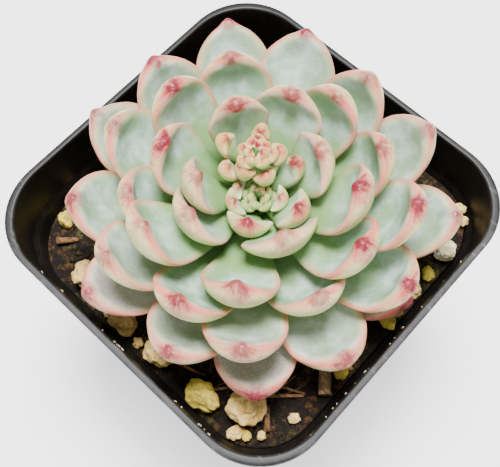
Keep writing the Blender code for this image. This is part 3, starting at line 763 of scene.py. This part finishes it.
class SUCCULENT_OT_soil(bpy.types.Operator):
    """Fills the pot with crumbly peat"""

    bl_idname = "succulent.soil"
    bl_label = "Soil"

    def execute(self, context):
        sizes = context.scene.succulent_sizes
        wall = sizes.pot_wall
        bm = bmesh.new()
        bmesh.ops.create_grid(bm, x_segments=190, y_segments=190, size=1.0)
        corner = sizes.pot_corner / POT_HIGH.x
        level = soil_top(0, 0)
        for vert in bm.verts:
            ring = max(abs(vert.co.x), abs(vert.co.y))
            turn = math.atan2(vert.co.y, vert.co.x)
            span = (inside_half(level, wall) - 0.15 * MM) * ring * boundary_scale(turn, corner)
            x, y = span * math.cos(turn), span * math.sin(turn)
            inner = smooth_rise(1.0, 0.93, ring)
            relief = soil_relief(x, y, sizes.soil_lumps) * inner - 0.4 * MM * (1 - inner)
            vert.co = (x, y, soil_top(x, y) + relief)
        edges = [edge for edge in bm.edges if edge.is_boundary]
        bottom = SOIL_LOW.z
        made = bmesh.ops.extrude_edge_only(bm, edges=edges)["geom"]
        shrink = (inside_half(bottom, wall) - 0.3 * MM) / inside_half(level, wall)
        for vert in [item for item in made if isinstance(item, bmesh.types.BMVert)]:
            vert.co = (vert.co.x * shrink, vert.co.y * shrink, bottom)
        edges = [item for item in made if isinstance(item, bmesh.types.BMEdge) and item.is_boundary]
        bmesh.ops.edgeloop_fill(bm, edges=edges)
        bmesh.ops.recalc_face_normals(bm, faces=bm.faces[:])
        finish_piece("peat", bm, peat(context.scene.succulent_colours), ["soil"])
        return {"FINISHED"}


def spot_on_soil(draw, margin):
    """A random place on the soil, at least this far from the pot's wall."""
    corner = bpy.context.scene.succulent_sizes.pot_corner / POT_HIGH.x
    while True:
        x, y = draw.uniform(-SOIL_HIGH.x, SOIL_HIGH.x), draw.uniform(-SOIL_HIGH.x, SOIL_HIGH.x)
        edge = (SOIL_HIGH.x - 1.2 * MM) * boundary_scale(math.atan2(y, x), corner)
        if math.hypot(x, y) < edge - margin:
            return x, y


def lump(bm, centre, half_sizes, seed, detail, rough=0.3, turn=0.0):
    """Adds a rough grain to the mesh."""
    made = bmesh.ops.create_icosphere(bm, subdivisions=detail, radius=1.0)["verts"]
    offset = Vector((seed * 3.7, seed * 1.3, seed * 0.7))
    spin = Matrix.Rotation(turn, 3, "Z")
    for vert in made:
        way = vert.co.normalized()
        size = 1 + rough * noise.noise(way * 1.3 + offset) + 0.45 * rough * noise.noise(way * 3.1 + offset)
        vert.co = spin @ (way * size * Vector(half_sizes)) + Vector(centre)


# Small grains by the pot's walls, in millimetres: place, half size, and the stone that each is of.
SMALL_GRAINS = (
    (20.2, -36.4, 1.5, "yellow"),
    (28.6, -36.4, 1.7, "cream"),
    (30.6, -35.2, 1.2, "yellow"),
    (36.4, -9.6, 1.5, "cream"),
    (36.8, -11.6, 1.5, "yellow"),
    (36.9, 4.2, 2.0, "yellow"),
    (36.9, 7.0, 1.4, "cream"),
    (36.8, 13.2, 1.9, "cream"),
    (36.8, 18.6, 1.6, "yellow"),
    (32.3, 36.0, 1.5, "cream"),
    (35.0, 34.0, 1.2, "cream"),
    (-35.1, -27.7, 2.1, "yellow"),
    (-36.4, -20.0, 1.3, "cream"),
    (-10.8, -36.6, 1.1, "cream"),
    (-1.0, -36.8, 1.3, "cream"),
    (35.6, -25.6, 1.3, "cream"),
    (33.0, -33.0, 1.1, "cream"),
)


# Twigs: place in millimetres, heading in radians, length and thicker end's radius in millimetres.
TWIGS = (
    (30.0, -24.5, 0.75, 11.0, 0.55),
    (30.4, -22.0, 0.45, 8.0, 0.4),
    (11.0, -33.4, 0.3, 9.0, 0.6),
    (20.0, -31.5, 0.9, 7.0, 0.45),
    (31.5, -29.5, 2.3, 5.5, 0.8),
    (-31.0, -31.0, 0.8, 5.0, 0.9),
    (24.5, 34.0, 0.3, 5.0, 1.0),
)


class SUCCULENT_OT_stones(bpy.types.Operator):
    """Sets the pumice stones and smaller grains on the soil"""

    bl_idname = "succulent.stones"
    bl_label = "Stones"

    def execute(self, context):
        lumps = context.scene.succulent_sizes.soil_lumps
        stones = {
            "cream": pumice("crushed_cream_pumice", "E0BE74", "B48C45"),
            "yellow": pumice("crushed_yellow_pumice", "CDB548", "947A22"),
            "white": pumice("crushed_white_pumice", "D9D0AE", "B3A273"),
        }
        for number, node in enumerate(sorted(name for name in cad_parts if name.startswith("pumice"))):
            low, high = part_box(node)
            bm = bmesh.new()
            lump(bm, (low + high) / 2, (high - low) / 2 * 0.97, number + 2, 5, rough=0.34)
            colour = node.split("_")[1]
            finish_piece(f"grain_{number + 1}", bm, stones[colour], [node])
        for colour in ("cream", "yellow"):
            bm = bmesh.new()
            for number, (x, y, size, kind) in enumerate(SMALL_GRAINS):
                if kind != colour:
                    continue
                x, y = x * MM, y * MM
                z = soil_top(x, y) + soil_relief(x, y, lumps) + 0.55 * size * MM
                half = (size * MM, size * 0.85 * MM, size * 0.8 * MM)
                lump(bm, (x, y, z), half, number + 20, 4, rough=0.4, turn=number * 1.1)
            finish_piece(f"small_{colour}_grains", bm, stones[colour])
        return {"FINISHED"}


class SUCCULENT_OT_litter(bpy.types.Operator):
    """Strews peat crumbs, grit, root fibres and twigs"""

    bl_idname = "succulent.litter"
    bl_label = "Litter"

    def execute(self, context):
        lumps = context.scene.succulent_sizes.soil_lumps
        self.crumbs(context, lumps)
        self.fibres(lumps)
        self.twigs(lumps)
        return {"FINISHED"}

    def crumbs(self, context, lumps):
        """Peat crumbs, and the pale grit that clings to the rim."""
        draw = random.Random(4)
        bm = bmesh.new()
        for number in range(560):
            size = draw.uniform(0.35, 1.25) * MM
            x, y = spot_on_soil(draw, 0.6 * MM + size)
            z = soil_top(x, y) + soil_relief(x, y, lumps) + 0.2 * size
            half = (size, size * draw.uniform(0.6, 1), size * draw.uniform(0.5, 0.8))
            lump(bm, (x, y, z), half, number, 1, rough=0.7, turn=draw.uniform(0, 3))
        finish_piece("peat_crumbs", bm, peat(context.scene.succulent_colours))
        bm = bmesh.new()
        side, top = POT_HIGH.x - 1.7 * MM, POT_HIGH.z
        for number in range(40):
            along = draw.uniform(-0.75, 0.75) * POT_HIGH.x
            size = draw.uniform(0.08, 0.34) * MM
            down = draw.uniform(0.3, 7.0) * MM
            reach = side - 0.05 * down
            spot = (along, -reach, top - down) if number % 2 else (reach, along, top - down)
            long_way = (size * 0.7, size * draw.uniform(0.6, 1.7), size * draw.uniform(0.5, 1.2))
            half = (long_way[1], long_way[0], long_way[2]) if number % 2 else long_way
            lump(bm, spot, half, number, 1, rough=0.9)
        finish_piece("rim_grit", bm, pumice("pale_grit", "B5A88A", "5E5238"))

    def fibres(self, lumps):
        """Root fibres lying in the peat."""
        draw = random.Random(9)
        bm = bmesh.new()
        for number in range(80):
            length = draw.uniform(3, 9) * MM
            x, y = spot_on_soil(draw, 0.6 * MM + 0.72 * length)
            radius = draw.uniform(0.08, 0.28) * MM
            heading = draw.uniform(0, math.tau)
            made = bmesh.ops.create_cone(
                bm, cap_ends=True, segments=5, radius1=radius, radius2=radius * 0.6, depth=length
            )["verts"]
            tilt = math.pi / 2 + draw.uniform(-0.2, 0.2)
            flat = Matrix.Rotation(heading, 3, "Z") @ Matrix.Rotation(tilt, 3, "Y")
            for vert in made:
                vert.co = flat @ vert.co + Vector((x, y, 0))
            rest = soil_top(x, y) + soil_relief(x, y, lumps) + radius + 0.4 * MM
            bmesh.ops.translate(bm, vec=(0, 0, rest), verts=made)
        finish_piece("root_fibres", bm, pine_bark("dry_root_fibre", "6E5232", "2C1E12"))

    def twigs(self, lumps):
        bm = bmesh.new()
        for x, y, heading, length, radius in TWIGS:
            spot = Vector((x, y, 0)) * MM
            made = bmesh.ops.create_cone(
                bm,
                cap_ends=True,
                segments=10,
                radius1=radius * MM,
                radius2=radius * 0.55 * MM,
                depth=length * MM,
            )["verts"]
            lay = Matrix.Rotation(heading, 3, "Z") @ Matrix.Rotation(math.pi / 2, 3, "Y")
            for vert in made:
                vert.co = lay @ vert.co + spot + noise.noise_vector(vert.co * 400) * 0.15 * MM
            rest = soil_top(spot.x, spot.y) + soil_relief(spot.x, spot.y, lumps) + 0.9 * MM
            bmesh.ops.translate(bm, vec=(0, 0, rest), verts=made)
        finish_piece("bark_twigs", bm, pine_bark("broken_pine_twig", "8A6238", "3A2516"))


class SUCCULENT_OT_bark(bpy.types.Operator):
    """Lays the short stick of bark by the wall"""

    bl_idname = "succulent.bark"
    bl_label = "Bark"

    def execute(self, context):
        points = node_points("bark_stick")
        low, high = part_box("bark_stick")
        start = Vector((low.x, high.y))
        heading = (Vector((high.x, low.y)) - start).normalized()
        shares = [(point.xy - start).dot(heading) for point in points]
        length = max(shares) - min(shares)
        bm = bmesh.new()
        radius = (high.z - low.z) / 2
        made = bmesh.ops.create_cone(
            bm, cap_ends=True, segments=28, radius1=radius * 0.9, radius2=radius, depth=length
        )["verts"]
        long_edges = [edge for edge in bm.edges if abs(edge.verts[0].co.z - edge.verts[1].co.z) > length / 2]
        bmesh.ops.subdivide_edges(bm, edges=long_edges, cuts=14, use_grid_fill=True)
        for vert in bm.verts:
            ridge = noise.noise(Vector((vert.co.x / 0.5, vert.co.y / 0.5, vert.co.z / 3)) / MM)
            vert.co.x *= 1 + 0.16 * ridge - 0.05
            vert.co.y *= 1 + 0.16 * ridge - 0.05
        turn = Vector((0, 0, 1)).rotation_difference(Vector((*heading, 0)))
        bmesh.ops.rotate(bm, matrix=turn.to_matrix(), verts=bm.verts[:])
        bmesh.ops.translate(bm, vec=(low + high) / 2, verts=bm.verts[:])
        bmesh.ops.recalc_face_normals(bm, faces=bm.faces[:])
        stick = finish_piece(
            "stick_of_bark", bm, pine_bark("chipped_pine_bark", "A8895E", "5C4428"), ["bark_stick"]
        )
        stick.data.set_sharp_from_angle(angle=math.radians(45))
        return {"FINISHED"}


class SUCCULENT_OT_stem(bpy.types.Operator):
    """Raises the short stem that carries the leaves"""

    bl_idname = "succulent.stem"
    bl_label = "Stem"

    def execute(self, context):
        low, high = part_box("stem")
        top = [point for point in node_points("stem") if point.z > high.z - 0.5 * MM]
        centre = (low + high) / 2
        head = max((point.xy - centre.xy).length for point in top)
        foot = (high.x - low.x) / 2
        bm = bmesh.new()
        bmesh.ops.create_cone(
            bm, cap_ends=True, segments=40, radius1=foot, radius2=head, depth=high.z - low.z + 0.6 * MM
        )
        sides = [edge for edge in bm.edges if abs(edge.verts[0].co.z - edge.verts[1].co.z) > MM]
        bmesh.ops.subdivide_edges(bm, edges=sides, cuts=30, use_grid_fill=True)
        for vert in bm.verts:
            turn = math.atan2(vert.co.y, vert.co.x)
            scar = math.sin(turn * 5 + vert.co.z / (0.9 * MM)) * math.sin(vert.co.z / (0.55 * MM))
            spread = 1 + 0.035 * scar + 0.05 * noise.noise(vert.co / (3 * MM)) - 0.05
            vert.co.x *= spread
            vert.co.y *= spread
        bmesh.ops.translate(bm, vec=(centre.x, centre.y, centre.z - 0.3 * MM), verts=bm.verts[:])
        bmesh.ops.recalc_face_normals(bm, faces=bm.faces[:])
        material = pine_bark("fleshy_green_stem", "8C9862", "5D5A38")
        finish_piece("leaf_stem", bm, material, ["stem"])
        return {"FINISHED"}


class SUCCULENT_OT_rosette(bpy.types.Operator):
    """Grows the rosette's leaves, oldest and lowest first"""

    bl_idname = "succulent.rosette"
    bl_label = "Rosette"

    def execute(self, context):
        sizes = context.scene.succulent_sizes
        colours = context.scene.succulent_colours
        material = leaf_material(
            "waxy_succulent_leaf", colours, colours.leaf_face, colours.leaf_base, colours.back, 0.9
        )
        draw = random.Random(12)
        nodes = numbered("leaf_")
        for number, node in enumerate(nodes):
            age = number / (len(nodes) - 1)
            leaf = leaf_from_node(
                node,
                tone=draw.random(),
                # Dust, and painted shade on the lowest leaves.
                dust=DUSTED_AND_SHADED.get(node, max(0.0, 0.22 - 0.5 * age)),
                thick=sizes.thick_old + (sizes.thick_new - sizes.thick_old) * age,
                curl=36 + 12 * age,
                hook=20 + 46 * min(1.0, age / 0.7),
                cup=sizes.cup,
                blunt=2.2 - 1.0 * max(0.0, age - 0.6),
                spine=sizes.spine * (1.7 - 0.7 * age),
                waver=sizes.waver,
                marks=1.0,
                blush=1.0 - 0.45 * float(smooth_rise(0.7, 0.95, age)),
            )
            bm = new_leaf_bmesh()
            grow_leaf(bm, leaf)
            finish_piece(f"rosette_{node}", bm, material, [node])
        return {"FINISHED"}


def small_leaf_form(sizes, thick, marks, blush, waver_share=0.3):
    """A growing point's leaf. marks is the size of its spots and edges, as a share of a grown leaf's."""
    return {
        "marks": marks,
        "blush": blush,
        "thick": thick,
        "curl": 55,
        "hook": 45,
        "cup": 0.4,
        "blunt": 1.8,
        "spine": sizes.spine / 2,
        "waver": sizes.waver * waver_share,
    }


def grow_bud(bm, node, count, first_turn, reach, thick, broad, sizes, marks, blush):
    """Fills a bud's place with plump leaves closing over its middle, each a golden angle on from the last."""
    low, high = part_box(node)
    centre = (low + high) / 2
    for number in range(count):
        share = number / (count - 1)
        turn = math.radians(first_turn - GOLDEN_ANGLE * number)
        out = Vector((math.cos(turn), math.sin(turn)))
        span = reach * (1 - 0.8 * share)
        top = high.z - 1.1 * MM * (1 - share) ** 1.5
        leaf = {
            "base": Vector((*(centre.xy + out * 0.3 * span), top - 3.4 * MM + 0.9 * MM * share)),
            "tip": Vector((*(centre.xy + out * 0.78 * span), top)),
            "out": out,
            "half": broad * (1 - 0.35 * share),
            "tone": (number * 0.37) % 1,
            "dust": 0.0,
            **small_leaf_form(sizes, thick, marks, blush),
        }
        grow_leaf(bm, leaf, around=24, rings=22)


class SUCCULENT_OT_heart(bpy.types.Operator):
    """Grows the green growing point in the middle of the rosette"""

    bl_idname = "succulent.heart"
    bl_label = "Heart"

    def execute(self, context):
        sizes = context.scene.succulent_sizes
        colours = context.scene.succulent_colours
        greens = (srgb("9DB57E"), srgb("5F7F3E"), srgb("B7C880"))
        material = leaf_material("waxy_young_leaf", colours, *greens, 0.8)
        for number, node in enumerate(numbered("heart_leaf_")):
            outer = number < 3
            thick = sizes.thick_small * (1.5 if outer else 1.0)
            form = small_leaf_form(sizes, thick, 0.7 if outer else 0.45, 0.4 if outer else 0.3, 0.5)
            leaf = leaf_from_node(node, tone=1 - number / 6, dust=0.0, **form)
            bm = new_leaf_bmesh()
            grow_leaf(bm, leaf, around=36, rings=32)
            finish_piece(f"young_{node}", bm, material, [node])
        bm = new_leaf_bmesh()
        grow_bud(bm, "heart_bud", 11, 40, 3.6 * MM, 1.6 * MM, 1.8 * MM, sizes, 0.14, 0.1)
        greens = (srgb("8AA35E"), srgb("4F6C2E"), srgb("94AC60"))
        material = leaf_material("waxy_unopened_leaf", colours, *greens, 0.2)
        finish_piece("heart_crown", bm, material, ["heart_bud"])
        return {"FINISHED"}


class SUCCULENT_OT_side_shoot(bpy.types.Operator):
    """Grows the raised, blushed growing point behind the heart"""

    bl_idname = "succulent.side_shoot"
    bl_label = "Side shoot"

    def execute(self, context):
        sizes = context.scene.succulent_sizes
        colours = context.scene.succulent_colours
        creams = (srgb("DCC878"), srgb("9FAE58"), srgb("EDBE6C"))
        material = leaf_material("waxy_blushed_leaf", colours, *creams, 0.8)
        for number, node in enumerate(numbered("offshoot_leaf_")):
            form = small_leaf_form(sizes, sizes.thick_small * 1.25, 0.45, 0.6, 0.5)
            leaf = leaf_from_node(node, tone=number / 6, dust=0.0, **form)
            bm = new_leaf_bmesh()
            grow_leaf(bm, leaf, around=36, rings=32)
            finish_piece(f"blushed_{node}", bm, material, [node])
        bm = new_leaf_bmesh()
        grow_bud(bm, "offshoot_bud", 11, 40, 3.8 * MM, 2.1 * MM, 2.1 * MM, sizes, 0.28, 0.6)
        finish_piece("side_shoot_crown", bm, material, ["offshoot_bud"])
        return {"FINISHED"}


class SUCCULENT_OT_stage(bpy.types.Operator):
    """Sets the pale floor, the soft lights and the camera"""

    bl_idname = "succulent.stage"
    bl_label = "Stage"

    def execute(self, context):
        scene = context.scene
        bm = bmesh.new()
        bmesh.ops.create_grid(bm, x_segments=1, y_segments=1, size=1.5)
        mesh = bpy.data.meshes.new("floor")
        bm.to_mesh(mesh)
        bm.free()
        material, tree, shader, _ = new_material("matte_white_paper")
        glow = {"Emission Color": srgb("FFFFFF"), "Emission Strength": 0.9}
        fill(tree, shader.inputs, {"Base Color": srgb("F6F5F3"), "Roughness": 0.9, **glow})
        mesh.materials.append(material)
        floor = bpy.data.objects.new("floor", mesh)
        scene.collection.objects.link(floor)

        world = bpy.data.worlds.new("pale_room")
        world.use_nodes = True
        sky = world.node_tree.nodes["Background"].inputs
        fill(world.node_tree, sky, {"Color": srgb("F4F4F2"), "Strength": 0.46})
        scene.world = world
        for name, place, size, power in (
            ("softbox_above", (-0.12, 0.14, 0.9), 0.32, 25.0),
            ("softbox_front", (0.35, -0.55, 0.7), 0.6, 4.0),
        ):
            light = bpy.data.lights.new(name, "AREA")
            light.size = size
            light.energy = power
            lamp = bpy.data.objects.new(name, light)
            lamp.location = place
            aim = Vector((0, 0, 0.08)) - Vector(place)
            lamp.rotation_euler = aim.to_track_quat("-Z", "Y").to_euler()
            scene.collection.objects.link(lamp)

        azimuth, elevation, roll = math.radians(44.4), math.radians(69.41), -0.029373
        level = Vector((math.cos(azimuth), math.sin(azimuth), 0))
        towards = Vector((math.sin(azimuth), -math.cos(azimuth), 0))
        back = towards * math.cos(elevation) + Vector((0, 0, math.sin(elevation)))
        raised = back.cross(level)
        right = level * math.cos(roll) + raised * math.sin(roll)
        above = -level * math.sin(roll) + raised * math.cos(roll)
        data = bpy.data.cameras.new("camera")
        data.lens = 53.2
        data.clip_start = 0.01
        camera = bpy.data.objects.new("camera", data)
        turned = Matrix((right, above, back)).transposed().to_4x4()
        camera.matrix_world = Matrix.Translation((42.6 * MM, -44.5 * MM, 222.6 * MM)) @ turned
        scene.collection.objects.link(camera)
        scene.camera = camera
        return {"FINISHED"}


# In the order in which they are run.
OPERATORS = (
    SUCCULENT_OT_pot,
    SUCCULENT_OT_soil,
    SUCCULENT_OT_stones,
    SUCCULENT_OT_litter,
    SUCCULENT_OT_bark,
    SUCCULENT_OT_stem,
    SUCCULENT_OT_rosette,
    SUCCULENT_OT_heart,
    SUCCULENT_OT_side_shoot,
    SUCCULENT_OT_stage,
)


class SUCCULENT_PT_panel(bpy.types.Panel):
    """Lists the plant's pieces, sizes and colours"""

    bl_label = "Potted succulent"
    bl_idname = "SUCCULENT_PT_panel"
    bl_space_type = "VIEW_3D"
    bl_region_type = "UI"
    bl_category = "Succulent"

    def draw(self, context):
        layout = self.layout
        for group in (context.scene.succulent_sizes, context.scene.succulent_colours):
            for name in group.__annotations__:
                layout.prop(group, name)
        for operator in OPERATORS:
            layout.operator(operator.bl_idname)


CLASSES = (SucculentSizes, SucculentColours, *OPERATORS, SUCCULENT_PT_panel)


def register():
    for one in CLASSES:
        bpy.utils.register_class(one)
    bpy.types.Scene.succulent_sizes = PointerProperty(type=SucculentSizes)
    bpy.types.Scene.succulent_colours = PointerProperty(type=SucculentColours)


def unregister():
    del bpy.types.Scene.succulent_sizes
    del bpy.types.Scene.succulent_colours
    for one in reversed(CLASSES):
        bpy.utils.unregister_class(one)


def main():
    register()
    for operator in OPERATORS:
        getattr(bpy.ops.succulent, operator.bl_idname.partition(".")[2])()


if __name__ == "__main__":
    main()
